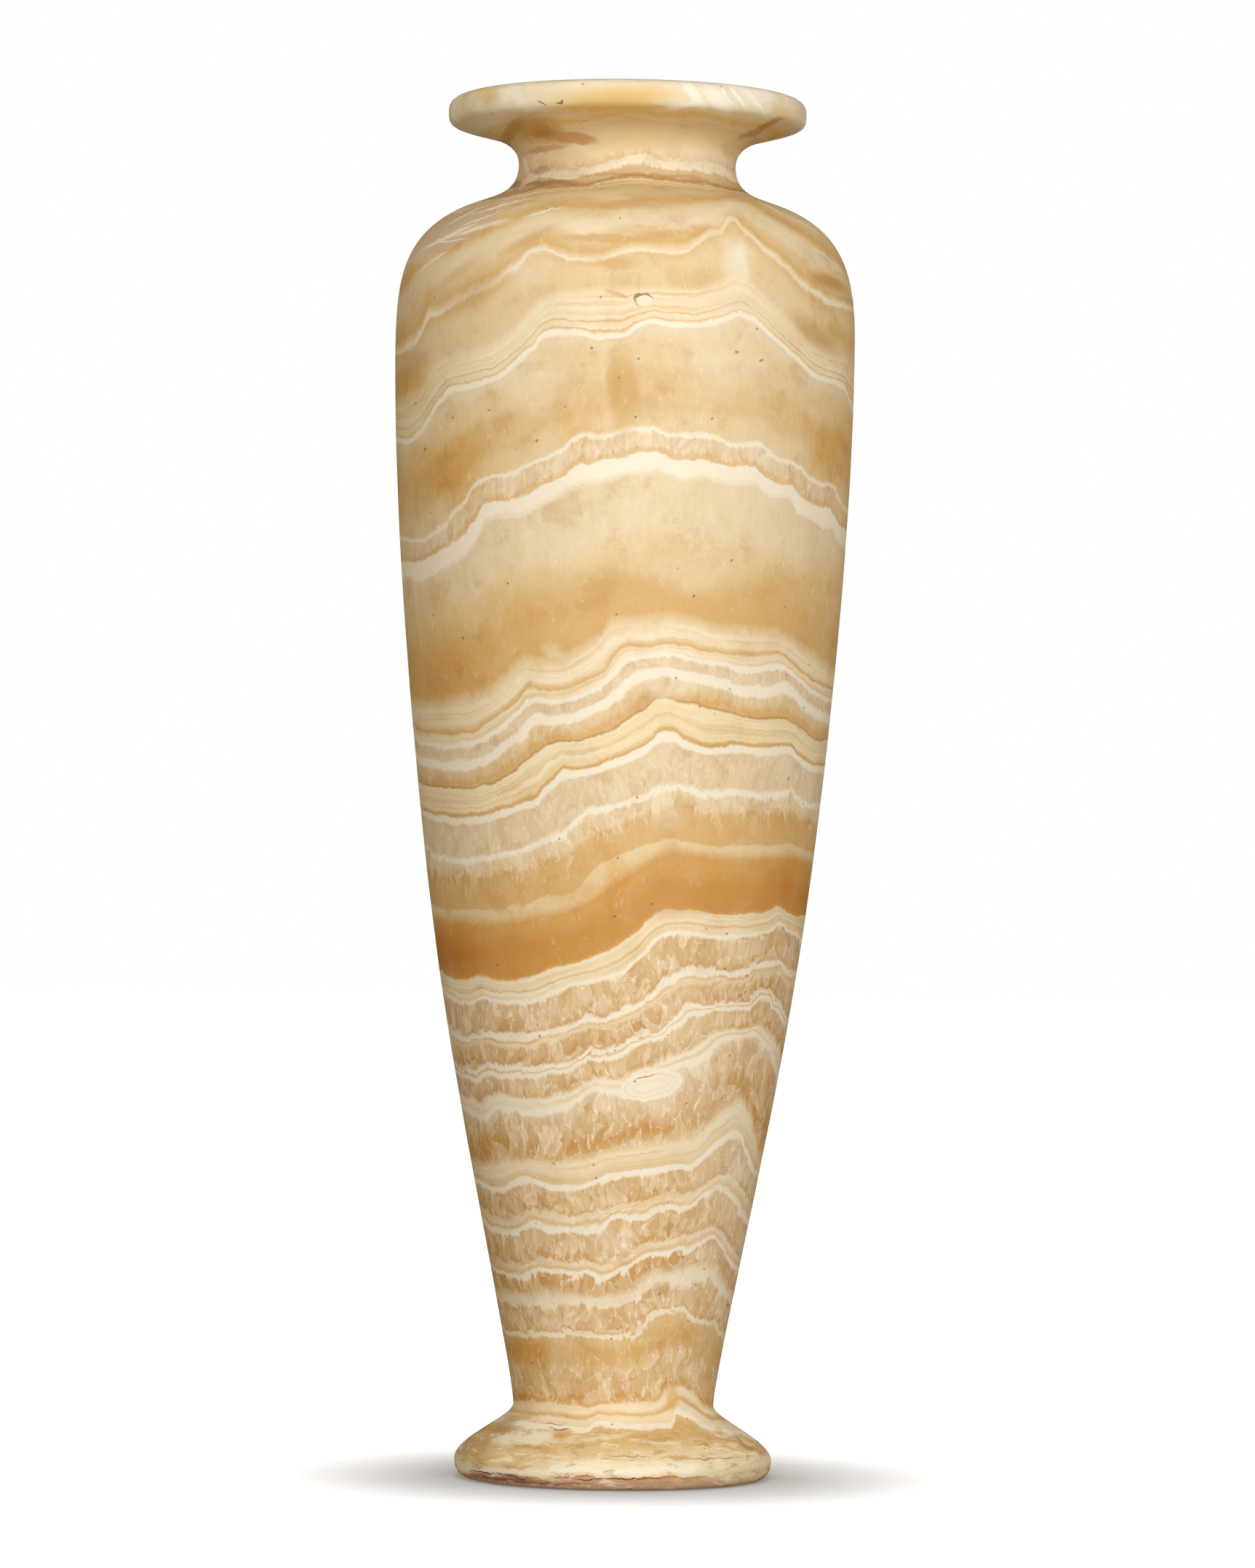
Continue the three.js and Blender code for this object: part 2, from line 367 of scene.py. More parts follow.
     (0, 151.5), (4, 152), (7, 154.5), (10, 155.5), (14, 156.5), (18, 158.5), (22, 160), (26, 161.5),
     (30, 164.5), (33, 167), (36, 169.5), (40, 169.7), (46, 170), (52, 171), (55, 169.5), (57, 167),
     (59, 165), (61, 161), (62, 155), (63, 150)],
    [(-58, 138), (-55, 137), (-52, 135), (-49, 134.5), (-47, 137), (-44, 139), (-38, 138.7), (-35, 137.5),
     (-30, 137.3), (-25, 138), (-18, 139.5), (-15, 142), (-11, 145), (-7, 146.5), (0, 146), (3, 144),
     (5, 147), (8, 151), (12, 153.5), (16, 154.5), (20, 155), (24, 156.5), (27, 157), (31, 158),
     (34, 161), (37, 165), (40, 166.5), (46, 167), (50, 168.3), (53, 166), (56, 163), (58, 158),
     (60, 152), (61, 146)],
    [(-54, 119), (-50, 118), (-45, 119), (-41, 121), (-25, 121), (-15, 122), (-8, 123), (-3, 125),
     (3, 127), (10, 127.5), (17, 128.5), (25, 130), (30, 131.5), (34, 135), (38, 139), (42, 142),
     (45, 144), (47, 143), (50, 138), (52, 130), (54, 122)],
    [(-52, 112.5), (-48, 111), (-45, 110), (-42, 110), (-39, 112), (-36, 114), (-33, 114.5), (-30, 113.5),
     (-26, 112.8), (-22, 112), (-18, 112), (-13, 112.5), (-8, 114.5), (-3, 116.5), (2, 117), (12, 118.5),
     (22, 120.3), (27, 120), (30, 121.5), (33, 124.5), (37, 127.5), (40, 129.5), (42, 131.5), (45, 132.3),
     (47, 130), (48, 126), (50, 122), (52, 118), (54, 114)],
    [(-51, 101), (-48, 100), (-45, 98.7), (-38, 98.7), (-35, 99.5), (-33, 101.5), (-31, 103), (-28, 102),
     (-24, 101.3), (-15, 100.5), (-10, 101.5), (-5, 103), (0, 103.8), (5, 105), (10, 106), (13, 107.5),
     (21, 109), (27, 108.5), (30, 110), (33, 112), (36, 114), (39, 115.5), (42, 115.5), (45, 113.5),
     (47, 110.5), (49, 107.5), (50, 105), (52, 100)],
    [(-50, 96), (-48, 94), (-45, 93), (-42, 92.5), (-38, 92.5), (-35, 93.5), (-33, 95), (-30, 97),
     (-28, 96), (-25, 94.5), (-22, 94), (-15, 94), (-6, 95), (-4, 96.5), (-2, 98.5), (0, 99.5), (3, 100),
     (6, 99), (10, 99), (13, 100.8), (17, 103), (21, 103.5), (24, 102.3), (27, 102.8), (30, 105),
     (33, 107.5), (36, 108.7), (39, 110), (41, 108.5), (44, 105.5), (46, 101), (48, 98), (50, 94)],
    [(-47, 83), (-44, 81.5), (-37, 81), (-31, 82), (-25, 83.5), (-20, 82.7), (-15, 82.7), (-11, 83.5),
     (-8, 83), (-5, 81.7), (-2, 82.5), (1, 84), (5, 86), (9, 88.5), (13, 90), (17, 90.7), (21, 92),
     (29, 93), (32, 94.5), (35, 96), (38, 94), (41, 91.5), (43, 88), (45, 85), (48, 82)],
    [(-47, 80), (-45, 78), (-43, 77), (-35, 76.5), (-33, 77.5), (-27, 80), (-20, 79), (-16, 78.8),
     (-10, 79.5), (-7, 78), (-4, 77.5), (-1, 78.5), (2, 80.5), (5, 82), (8, 84), (11, 85.5), (14, 86.2),
     (17, 86), (20, 87), (23, 88), (26, 87.5), (29, 88.5), (33, 90.3), (36, 92), (38, 91), (41, 87),
     (42, 84), (44, 81), (46, 79.5)],
    [(-45, 70), (-35, 69.5), (-25, 70.5), (-15, 69.5), (0, 70), (4, 70.5), (7, 72.5), (11, 75.5),
     (15, 78), (20, 79), (25, 80), (30, 81), (34, 81), (38, 79), (41, 74), (43, 70), (45, 66)],
    [(-44, 66), (-35, 65), (-26, 66), (-10, 67), (-5, 65.8), (0, 65.8), (4, 66.5), (8, 69), (12, 72.5),
     (16, 75), (20, 75.7), (30, 75.5), (35, 76), (38, 73), (41, 69), (43, 66), (44, 62)],
    [(-43, 56.5), (-40, 55.5), (-34, 55.3), (-31, 54.5), (-28, 56), (-25, 56.5), (0, 56), (8, 56.5),
     (10, 57.5), (12, 61), (15, 64), (18, 65.5), (21, 65.7), (25, 66.5), (28, 63.5), (31, 61.5),
     (36, 59.5), (38, 58.5), (40, 55), (42, 50)],
    [(-38, 28.5), (-33, 29.5), (-28, 30.3), (-10, 29.5), (-5, 30.5), (0, 30.8), (12, 31), (16, 32),
     (18, 34), (20, 36), (25, 37), (28, 35), (31, 32.5), (34, 29), (37, 26)],
    [(-38, 22), (-30, 21.5), (-20, 22), (-10, 21.3), (-5, 23.3), (0, 22.7), (19, 22.2), (21, 22.5),
     (22.5, 24), (23, 26.5), (24, 27.5), (27, 26), (30, 25), (33, 22.5), (38, 20.8), (43, 19), (48, 17.5),
     (53, 15)],
    [(-60, 5), (-25, 6), (-22, 8), (-18, 9), (-7, 9.7), (0, 8.8), (8, 9.5), (12, 8.5), (18, 9.3), (33, 9),
     (38, 9)],
    [(-60, 3), (-25, 5), (-22, 6.5), (-14, 7), (-9, 8), (-5, 6.7), (4, 7), (8, 6), (14, 6.5), (22, 7.7),
     (27, 6.3), (33, 6.7)],
    [(-90, 0), (90, 0)],
]

# Tones of the stone as they look in even light, and how readily each takes a stain.
TONES = {
    "white": (246, 236, 214, 0.15),
    "ivory": (239, 226, 196, 0.3),
    "cream": (239, 219, 180, 0.45),
    "yellow cream": (240, 221, 178, 0.5),
    "pale sand": (232, 213, 175, 0.9),
    "sand": (230, 205, 160, 1),
    "tan": (224, 192, 140, 1),
    "honey": (218, 178, 116, 1),
    "amber": (212, 163, 92, 1),
    "deep amber": (206, 151, 78, 1),
    "brown": (190, 142, 82, 1),
    "crystal": (222, 189, 140, 1),
    "grey crystal": (230, 208, 171, 1),
    "warm crystal": (212, 168, 108, 1),
    "gold": (226, 192, 120, 1),
    "pale gold": (234, 212, 158, 0.8),
    "shaded tan": (220, 192, 146, 1),
    "red brown": (160, 98, 68, 1),
    "pink brown": (202, 164, 132, 1),
}

# What a plumb line down the middle of the front crosses: height in millimetres and tone.
COLUMN = [
    (521, "ivory"), (511, "ivory"), (509.8, "pale gold"), (508.8, "gold"), (507.6, "sand"),
    (506.5, "shaded tan"), (503, "shaded tan"), (500, "sand"), (497, "sand"), (495, "shaded tan"),
    (494, "ivory"), (491.6, "white"), (490.6, "shaded tan"), (488, "shaded tan"), (486.5, "brown"),
    (485.5, "tan"), (485, "cream"), (484.3, "tan"), (483.6, "cream"), (482.8, "tan"), (480, "sand"),
    (478, "tan"), (475, "honey"), (472, "sand"), (470, "pale sand"), (466, "pale sand"), (464, "sand"),
    (461, "tan"), (458, "honey"), (456, "sand"), (455.1, "ivory"), (454.2, "ivory"), (453.2, "tan"),
    (450, "sand"), (442, "sand"), (439, "cream"), (430, "cream"), (429.3, "tan"), (428.6, "cream"),
    (426.7, "cream"), (426, "tan"), (425.3, "cream"), (424.7, "white"), (423.3, "white"),
    (422.5, "pale sand"), (421, "pale sand"), (418, "sand"), (412, "sand"), (408, "tan"), (398, "tan"),
    (394, "sand"), (390, "sand"), (389.4, "ivory"), (388.5, "white"), (387.2, "grey crystal"),
    (382, "grey crystal"), (381, "tan"), (379.2, "tan"), (378.6, "white"), (374, "white"), (373, "ivory"),
    (371, "pale sand"), (354, "pale sand"), (348, "sand"), (342, "tan"), (333, "honey"), (322, "honey"),
    (319, "sand"), (316.4, "cream"), (312, "cream"), (310.3, "tan"), (309.5, "honey"), (308.6, "cream"),
    (305, "cream"), (304.4, "white"), (302.6, "white"), (301.6, "grey crystal"), (297, "grey crystal"),
    (296, "white"), (292, "white"), (290.8, "sand"), (287, "tan"), (285, "honey"), (282.8, "honey"),
    (282, "brown"), (281.2, "yellow cream"), (277.2, "yellow cream"), (276.4, "sand"),
    (275.6, "yellow cream"), (272, "yellow cream"), (271, "honey"), (270.2, "honey"), (269.4, "white"),
    (267.4, "white"), (266.4, "grey crystal"), (254, "grey crystal"), (253.1, "white"), (251.5, "white"),
    (250.6, "pale sand"), (247, "sand"), (245, "honey"), (234.6, "honey"), (234, "sand"), (231, "sand"),
    (227, "tan"), (224, "amber"), (220, "amber"), (212, "deep amber"), (203, "deep amber"),
    (201.5, "amber"), (200.7, "cream"), (195.8, "cream"), (195, "tan"), (194.2, "cream"),
    (191.4, "cream"), (190.9, "white"), (189.6, "white"), (188.6, "crystal"), (180, "crystal"),
    (177.6, "warm crystal"), (176.7, "white"), (175, "white"), (174.1, "tan"), (173.3, "cream"),
    (172.4, "cream"), (171.2, "crystal"), (168, "crystal"), (164.6, "warm crystal"), (163.7, "white"),
    (162.4, "white"), (161.7, "tan"), (161, "white"), (159.9, "white"), (158.8, "crystal"),
    (155, "crystal"), (152.9, "warm crystal"), (151.8, "cream"), (150.6, "white"), (149, "cream"),
    (147.6, "white"), (146.2, "white"), (145, "grey crystal"), (137, "crystal"), (132, "warm crystal"),
    (129, "amber"), (127, "honey"), (126, "sand"), (124.5, "cream"), (120, "cream"), (118.5, "sand"),
    (117.2, "sand"), (116.7, "white"), (114.8, "white"), (113.8, "crystal"), (107, "crystal"),
    (104.6, "warm crystal"), (103.8, "cream"), (102.5, "cream"), (101.5, "tan"), (100.7, "white"),
    (99.5, "white"), (98.6, "crystal"), (90, "crystal"), (85, "warm crystal"), (83.9, "cream"),
    (82.8, "cream"), (81, "tan"), (79.9, "white"), (78.7, "white"), (77.8, "warm crystal"),
    (73, "warm crystal"), (70.6, "pale sand"), (69, "ivory"), (66.8, "ivory"), (65.2, "crystal"),
    (58, "crystal"), (57, "warm crystal"), (56.4, "ivory"), (55.2, "ivory"), (54.4, "tan"), (50, "honey"),
    (45, "honey"), (43, "crystal"), (34, "crystal"), (32.4, "amber"), (31, "honey"), (30.4, "cream"),
    (28, "cream"), (27, "tan"), (26.3, "honey"), (25.4, "cream"), (23.6, "cream"), (23.1, "white"),
    (22, "white"), (21.3, "tan"), (19.5, "honey"), (16, "tan"), (12, "sand"), (10.4, "pale sand"),
    (9.2, "ivory"), (7, "white"), (6, "cream"), (5.2, "sand"), (4.9, "red brown"), (4.5, "pink brown"),
    (0, "pink brown"),
]

# Where the stone is a mass of upright crystals: height on the same plumb line, and how clearly it shows.
CRYSTALS = [
    (521, 0), (499, 0), (497, 0.5), (492.5, 0.5), (490, 0), (488, 0.3), (486, 0), (470, 0), (465, 0.1),
    (457, 0.1), (455.6, 0.4), (454.6, 0.1), (445, 0.1), (436, 0), (424, 0), (420, 0.15), (392, 0.15),
    (389, 0.1), (386, 0.6), (381, 0.6), (378, 0), (373, 0.1), (368, 0.2), (340, 0.15), (325, 0.05),
    (318, 0), (302, 0.2), (299, 0.7), (294, 0.1), (288, 0.4), (283, 0.1), (268, 0), (264, 0.55),
    (255, 0.55), (252, 0.2), (249, 0.7), (243, 0.3), (236, 0.1), (190, 0), (187, 1), (178, 1), (175, 0.1),
    (173, 0.1), (170, 1), (165, 1), (162, 0.1), (160, 0.1), (157, 1), (153, 1), (151, 0.1), (147, 0.1),
    (143, 1), (129, 1), (124, 0.1), (115, 0), (112, 1), (105, 1), (102, 0.1), (100, 0.1), (97, 1),
    (85, 1), (82, 0.1), (80, 0.1), (77, 1), (71, 0.8), (68, 0.3), (64, 1), (57, 0.8), (54, 0.3),
    (46, 0.3), (42, 0.9), (33, 0.9), (29, 0), (0, 0),
]

# Curves run from 0 to 1, so heights are divided by COLUMN_TOP and places across by twice BED_SPAN. A ramp has
# at most RAMP_STOPS stops, and crystals push a layer up or down by no more than LEVEL_REACH.
COLUMN_TOP = 600
RAMP_STOPS = 28
LEVEL_REACH = 6
BED_SPAN = 90

# Clouds in the stone, as seen in front: x and height of the middle, half width, half height and lean, then
# the strength. Where iron has stained it the stone is golden, and elsewhere it is milky. The tall narrow
# stripes that run along the outline on both sides are painted shade: they darken and warm the sides towards
# the silhouette, over whatever amber the stone has there.
STAINS_AND_EDGE_SHADE = [
    ((-68, 378, 26, 15, 25), 1.0), ((-58, 370, 20, 12, 30), 0.8), ((-78, 397, 16, 16, 20), 0.3),
    ((-68, 312, 26, 30, 20), 0.9), ((-40, 328, 26, 16, 10), 0.5), ((78, 336, 18, 18, 0), 0.6),
    ((77, 386, 12, 22, 0), 1.0), ((66, 336, 24, 8, -6), 0.3), ((-2, 222, 6, 22, 0), 0.7),
    ((-62, 200, 20, 15, 5), 1.0), ((-68, 196, 15, 13, 0), 0.8), ((65, 222, 10, 18, 0), 0.7),
    ((-50, 127, 12, 7, 0), 0.7), ((-32, 49, 13, 13, 0), 1.0), ((-28, 51, 9, 8, 0), 0.6),
    ((80, 450, 10, 6, -20), 0.7), ((79, 430, 11, 7, -20), 0.8), ((-80, 411, 12, 6, 15), 0.7),
    ((-16, 394, 12, 7, 10), 0.6), ((-80, 412, 12, 8, 20), 0.7), ((54, 150, 7, 20, -20), 0.4),
    ((-78, 440, 10, 14, 0), 0.3), ((-31, 32, 10, 8, 0), 1.0), ((-15, 388, 14, 6, 10), 0.5),
    # Painted shade along the outline: the stripes at (-48, 90) and (-86, 380) here, and at (86, 380) and (64,
    # 150) below.
    ((66, 245, 10, 8, 0), 0.4), ((-48, 90, 8, 90, 14), 0.5), ((-86, 380, 12, 90, 0), 0.25),
    ((86, 380, 12, 90, 0), 0.4), ((64, 150, 9, 60, -14), 0.4),
]
MILK = [
    ((38, 412, 26, 18, 0), 0.5), ((41, 451, 9, 15, 0), 0.9), ((43, 456, 4, 10, -6), 0.6),
    ((-32, 405, 16, 15, 0), 0.4), ((-36, 449, 12, 9, 30), 0.35), ((42, 435, 24, 12, 0), 0.4),
    ((18, 296, 20, 5, 0), 0.6), ((30, 467, 17, 5, 20), 0.6), ((25, 338, 34, 12, 0), 0.35),
    ((15, 143, 13, 9, 15), 0.5), ((0, 91, 12, 6, 0), 0.4), ((36, 88, 8, 8, 0), 0.4),
    ((26, 496, 20, 12, 0), 0.6), ((50, 385, 20, 6, 0), 0.2), ((18, 248, 14, 8, 0), 0.3),
    ((45, 118, 5, 9, 0), 0.5), ((45, 137, 8, 8, 0), 0.4), ((-25, 310, 8, 4, 0), 0.5),
    ((62, 190, 4, 6, 0), 0.4), ((-15, 496, 20, 3, 0), 0.4), ((34, 130, 22, 120, 8), 0.22),
    ((24, 77, 18, 4.5, 4), 0.6), ((-72, 462, 16, 9, 20), 0.5), ((-76, 390, 8, 10, 0), 0.3),
]
# Marks that a bed doesn't explain, as x, height, half width, half height and lean, then tone, strength and
# how far in they fade. First the rim, gold in the middle and white beside it, with two open fissures.
MARKS = [
    ((-6, 513, 36, 7, 2), (231, 202, 136), 0.85, 0.75),
    ((-2, 512.4, 24, 5, 7), (224, 186, 110), 0.7, 0.85),
    ((-6, 509.8, 30, 1.4, 0), (230, 190, 108), 0.8, 0.6),
    ((-48, 514.5, 10, 4, 20), (247, 239, 216), 0.7, 0.6),
    ((-40, 513, 7, 3, -50), (248, 240, 218), 0.5, 0.6),
    ((24, 515.4, 8, 3, -50), (251, 243, 224), 0.9, 0.6),
    ((33, 514, 9, 4, -45), (251, 243, 226), 0.9, 0.6), ((21, 511, 9, 1.2, 12), (250, 242, 222), 0.8, 0.5),
    ((41, 515, 8, 0.9, -50), (254, 249, 238), 0.9, 0.6),
    ((48, 514, 8, 0.8, -46), (253, 247, 234), 0.9, 0.6),
    ((36, 516, 7, 0.7, -55), (254, 249, 238), 0.8, 0.6),
    ((57, 512.5, 8, 4, -30), (234, 208, 152), 0.6, 0.7),
    ((45, 511, 5, 1.2, -20), (238, 216, 168), 0.5, 0.6),
    ((-50, 514, 5, 4, 60), (226, 208, 166), 0.6, 0.7),
    ((-31.6, 511.4, 2.2, 0.28, -25), (128, 96, 56), 0.9, 0.5),
    ((-25, 511.4, 1.6, 0.35, 10), (128, 96, 56), 0.9, 0.5),
    ((-24.3, 512.2, 0.5, 0.8, -30), (136, 104, 62), 0.9, 0.5),
]

# Under the rim a brown knot with a tongue, on the neck white swirls and dark beds.
MARKS += [
    ((-6, 500, 46, 8, 0), (214, 190, 144), 0.4, 0.8), ((4, 502.5, 34, 6, 0), (223, 200, 158), 0.7, 0.7),
    ((-34, 504.6, 17, 5.4, -12), (198, 156, 86), 0.9, 0.75),
    ((-30.5, 503.4, 7, 3, -10), (168, 124, 58), 0.7, 0.85),
    ((-44, 505, 7, 2.6, 28), (192, 144, 84), 0.7, 0.5),
    ((-20, 501.2, 11, 2.4, -7), (190, 144, 94), 0.9, 0.45),
    ((-30, 498.4, 11, 1.5, 3), (196, 150, 100), 0.7, 0.5),
    ((-22, 494.6, 13, 2.2, -4), (230, 208, 172), 0.6, 0.7),
    ((50, 507.2, 13, 0.9, 22), (186, 138, 72), 0.7, 0.6),
    ((38, 500, 4, 4, -30), (204, 162, 110), 0.5, 0.7),
    ((-38, 493, 0.9, 5, 15), (238, 224, 196), 0.8, 0.6),
    ((-33.5, 496, 3.4, 0.7, 30), (238, 224, 198), 0.7, 0.5),
    ((-32, 490.5, 5, 2.2, 0), (178, 146, 108), 0.6, 0.6),
    ((-28, 484.6, 14, 1.8, -2), (166, 122, 72), 0.7, 0.6),
    ((-42, 486, 4, 3, -40), (156, 118, 76), 0.6, 0.6), ((6, 487.4, 34, 1.1, 0), (190, 142, 86), 0.5, 0.7),
]

# The shoulder: a grey cloud with pale veins on its left, milky scallops in the middle, fine lines on its
# right, and deeper tan between the white lines.
GREY_VEIN = (250, 240, 216)
MARKS += [
    ((-64, 466, 27, 9, 20), (212, 188, 158), 0.75, 0.7),
    ((-48, 477, 18, 2.6, 15), (208, 184, 152), 0.6, 0.7),
    ((-44, 472.6, 15, 0.9, 19), (196, 146, 108), 0.6, 0.6),
    ((-46, 474.5, 15, 0.6, 15), GREY_VEIN, 0.8, 0.6), ((-52, 470, 15, 0.5, 18), GREY_VEIN, 0.7, 0.6),
    ((-54, 465.6, 14, 0.9, 14), GREY_VEIN, 0.8, 0.6), ((-68, 461.3, 12, 0.6, 3), GREY_VEIN, 0.7, 0.6),
    ((-40, 478.6, 12, 0.5, 10), GREY_VEIN, 0.7, 0.6), ((-66, 463.4, 15, 1, 21), GREY_VEIN, 0.8, 0.6),
    ((-49, 466.6, 9, 1.6, 8), (234, 212, 184), 0.7, 0.6), ((-72, 454, 9, 0.8, 34), GREY_VEIN, 0.6, 0.6),
    ((-60, 471.6, 10, 0.6, 26), GREY_VEIN, 0.7, 0.6), ((-30, 470.4, 10, 0.6, 14), GREY_VEIN, 0.7, 0.6),
    ((-36, 463, 12, 1.4, 12), (230, 204, 164), 0.6, 0.6),
    ((-15, 464.5, 11, 3.6, 0), (240, 222, 188), 0.75, 0.5),
    ((-17, 478.4, 9, 1.8, 0), (230, 208, 170), 0.7, 0.35),
    ((5, 467, 13, 3.5, 0), (240, 220, 186), 0.6, 0.6), ((-3, 476, 6, 1.6, 0), (234, 212, 174), 0.6, 0.5),
    ((24, 471, 12, 2.6, 4), (236, 212, 170), 0.5, 0.6),
    ((55, 475.3, 9, 0.6, -28), (244, 230, 206), 0.8, 0.6),
    ((67, 470, 9, 0.6, -22), (242, 228, 202), 0.7, 0.6),
    ((74, 458.4, 14, 0.7, -32), (238, 222, 192), 0.7, 0.6),
    ((62, 464, 8, 0.5, -24), (238, 222, 192), 0.5, 0.6),
    ((58, 470, 12, 2, -25), (206, 164, 110), 0.5, 0.6),
    ((76, 449, 10, 3.5, -12), (180, 128, 70), 0.6, 0.7), ((18, 446, 5, 6, 0), (224, 184, 126), 0.5, 0.6),
    ((-57, 439, 20, 6, 30), (204, 160, 100), 0.5, 0.8), ((70, 428, 16, 6, -36), (188, 138, 78), 0.5, 0.8),
    ((-3, 450, 12, 3.6, 0), (208, 162, 102), 0.55, 0.8),
    ((27, 445, 12, 5, 22), (214, 172, 116), 0.5, 0.8), ((-80, 416, 10, 6, 32), (188, 138, 78), 0.4, 0.8),
    ((-36, 459.5, 15, 2.6, 27), (204, 160, 100), 0.5, 0.7),
    ((-8, 459.6, 22, 2.2, -2), (204, 160, 100), 0.55, 0.6),
    ((14, 461.4, 11, 2, 6), (206, 162, 102), 0.5, 0.6),
    ((-62, 448.5, 16, 3, 34), (206, 164, 108), 0.4, 0.8),
    ((0, 472.6, 17, 2, 0), (212, 172, 116), 0.45, 0.6),
    ((22, 441.5, 13, 0.3, -72), (243, 226, 192), 0.5, 0.6),
    ((-3, 438.6, 6, 1.2, -20), (214, 166, 98), 0.6, 0.6),
]

# An amber streak with a sharp edge under the shoulder, and more iron in the beds beside it.
MARKS += [
    ((0, 403, 8, 22, 0), (208, 162, 94), 0.7, 0.75), ((-4, 407, 3.5, 14, 2), (200, 152, 84), 0.4, 0.6),
    ((-8, 330, 26, 13, 6), (206, 162, 98), 0.2, 0.8), ((-16, 220, 14, 4, 14), (214, 164, 98), 0.4, 0.7),
    ((24, 217, 34, 8, 8), (204, 146, 78), 0.45, 0.8), ((-36, 199, 30, 8, 10), (204, 142, 72), 0.45, 0.8),
    ((28, 326, 30, 9, -4), (214, 172, 110), 0.3, 0.8),
]

# A small hollow lined with crust under the shoulder, and half way down a ringed nodule with a crack in it.
MARKS += [
    ((6.6, 436.8, 4, 2.6, 0), (150, 110, 68), 0.9, 0.2),
    ((7, 436.4, 3.5, 2.2, 0), (242, 229, 202), 1, 0.2),
    ((13, 149.5, 12.5, 5.8, 12), (247, 237, 214), 1, 0.12),
    ((12.6, 149.4, 10.4, 4.4, 12), (236, 216, 176), 0.5, 0.1),
    ((12.6, 149.4, 9.8, 3.9, 12), (246, 236, 212), 1, 0.1),
    ((12.4, 149.2, 7.4, 2.2, 12), (238, 220, 182), 0.5, 0.1),
    ((12.4, 149.2, 6.9, 1.7, 12), (246, 237, 216), 1, 0.15),
    ((11, 152.7, 6, 0.35, 13), (196, 154, 84), 1, 0.6),
    ((6.6, 150.8, 0.9, 0.4, 40), (140, 106, 56), 1, 0.5),
]

# The foot: a white cloud, pale clouds on the right, dark red cracks low down, and fine brown lines.
CRACK = (116, 62, 42)
MARKS += [
    ((-33, 17.2, 15, 3, 8), (245, 233, 203), 0.95, 0.45),
    ((-41, 9.5, 17, 4, 4), (218, 190, 134), 0.8, 0.5), ((-52, 12, 9, 5, 30), (190, 154, 104), 0.6, 0.6),
    ((-40, 3.2, 18, 2, 2), (150, 92, 66), 0.85, 0.55), ((-30, 2, 22, 0.9, 1), (132, 70, 48), 0.7, 0.6),
    ((-25, 4.4, 5, 1.2, -10), (228, 208, 168), 0.7, 0.5),
    ((46, 7, 18, 6.5, -4), (229, 212, 174), 0.85, 0.45), ((30, 3, 12, 1.8, 4), (210, 182, 144), 0.7, 0.6),
    ((49, 3.6, 12, 3, -4), (226, 204, 164), 0.8, 0.6), ((26, 13, 24, 3.2, -2), (236, 216, 176), 0.7, 0.6),
    ((36, 14.6, 9, 0.5, -6), (246, 233, 206), 0.7, 0.6),
    ((46, 12.5, 12, 0.5, -14), (246, 233, 206), 0.7, 0.6),
    ((44, 17, 14, 0.7, -20), (242, 227, 196), 0.7, 0.6),
    ((51, 13.4, 9, 1, -32), (180, 136, 86), 0.6, 0.6),
    ((-4, 15.5, 20, 4.4, 0), (226, 196, 136), 0.75, 0.7),
    ((-8, 18.6, 14, 1.4, 4), (242, 226, 190), 0.7, 0.6),
    ((6, 9.4, 22, 1.6, 2), (240, 222, 184), 0.7, 0.6), ((16, 17.4, 12, 1.1, 6), (200, 158, 96), 0.6, 0.6),
    ((0, 11.4, 13, 0.25, 1), (184, 132, 72), 0.8, 0.6),
    ((6, 12.6, 12, 0.25, 0), (184, 132, 72), 0.7, 0.6),
    ((38, 11, 14, 0.25, -1), (150, 104, 60), 0.8, 0.6),
    ((-20, 20.9, 6, 0.25, -2), (132, 74, 46), 0.9, 0.6),
    ((-22, 22.6, 5, 0.22, 1), (132, 74, 46), 0.8, 0.6), ((-41, 20, 8, 3, 35), (176, 154, 112), 0.6, 0.6),
    ((-33, 24, 8, 1.6, 12), (204, 162, 92), 0.5, 0.6), ((-47, 4.2, 9, 0.4, 3), CRACK, 1, 0.6),
    ((-36, 3.7, 6, 0.4, -14), CRACK, 1, 0.6), ((-45, 2.2, 7, 0.3, 4), CRACK, 0.8, 0.6),
    ((8, 4.7, 15, 0.35, 1), CRACK, 1, 0.6), ((-8, 4.3, 10, 0.3, 4), CRACK, 0.9, 0.6),
    ((-13, 2.5, 6, 0.25, -3), CRACK, 0.6, 0.6), ((-2, 2, 1, 0.7, 0), (112, 62, 52), 0.8, 0.5),
    ((7, 0.9, 1.1, 0.5, 0), (112, 62, 52), 0.8, 0.5), ((22, 32, 3.4, 6, 0), (226, 178, 108), 0.6, 0.6),
    ((28.5, 33, 5, 0.8, -42), (246, 231, 200), 0.7, 0.6),
]
PITS = [
    (50, 416), (41, 418.5), (32, 394), (-32, 385.5), (-50, 397), (-12, 419), (30, 75), (16.5, 71.5),
    (42.5, 66), (24, 50.5), (-78, 401.5), (-74, 384), (5, 415), (26, 329), (29, 289), (40, 205.5),
]

# The rim's lower edge, the foot's upper edge, and how deep the finest unevenness goes.
RIM_FROM = 509
FOOT_TOP = 24
RELIEF_DEPTH = 0.06

# How far a bed wanders up and down behind, and how far a mark is pushed about, at most.
BED_REACH = 36
MARK_REACH = 12

# The finish is worked out in four zones up the vase, each with just the beds and marks that reach it.
ZONES = [-100, 62, 245, 428, 700]


def middle(path):
    """A line's height on the plumb line down the middle."""
    for (x0, z0), (x1, z1) in zip(path, path[1:]):
        if x0 <= 0 <= x1:
            return z0 + (z1 - z0) * (0 - x0) / (x1 - x0)


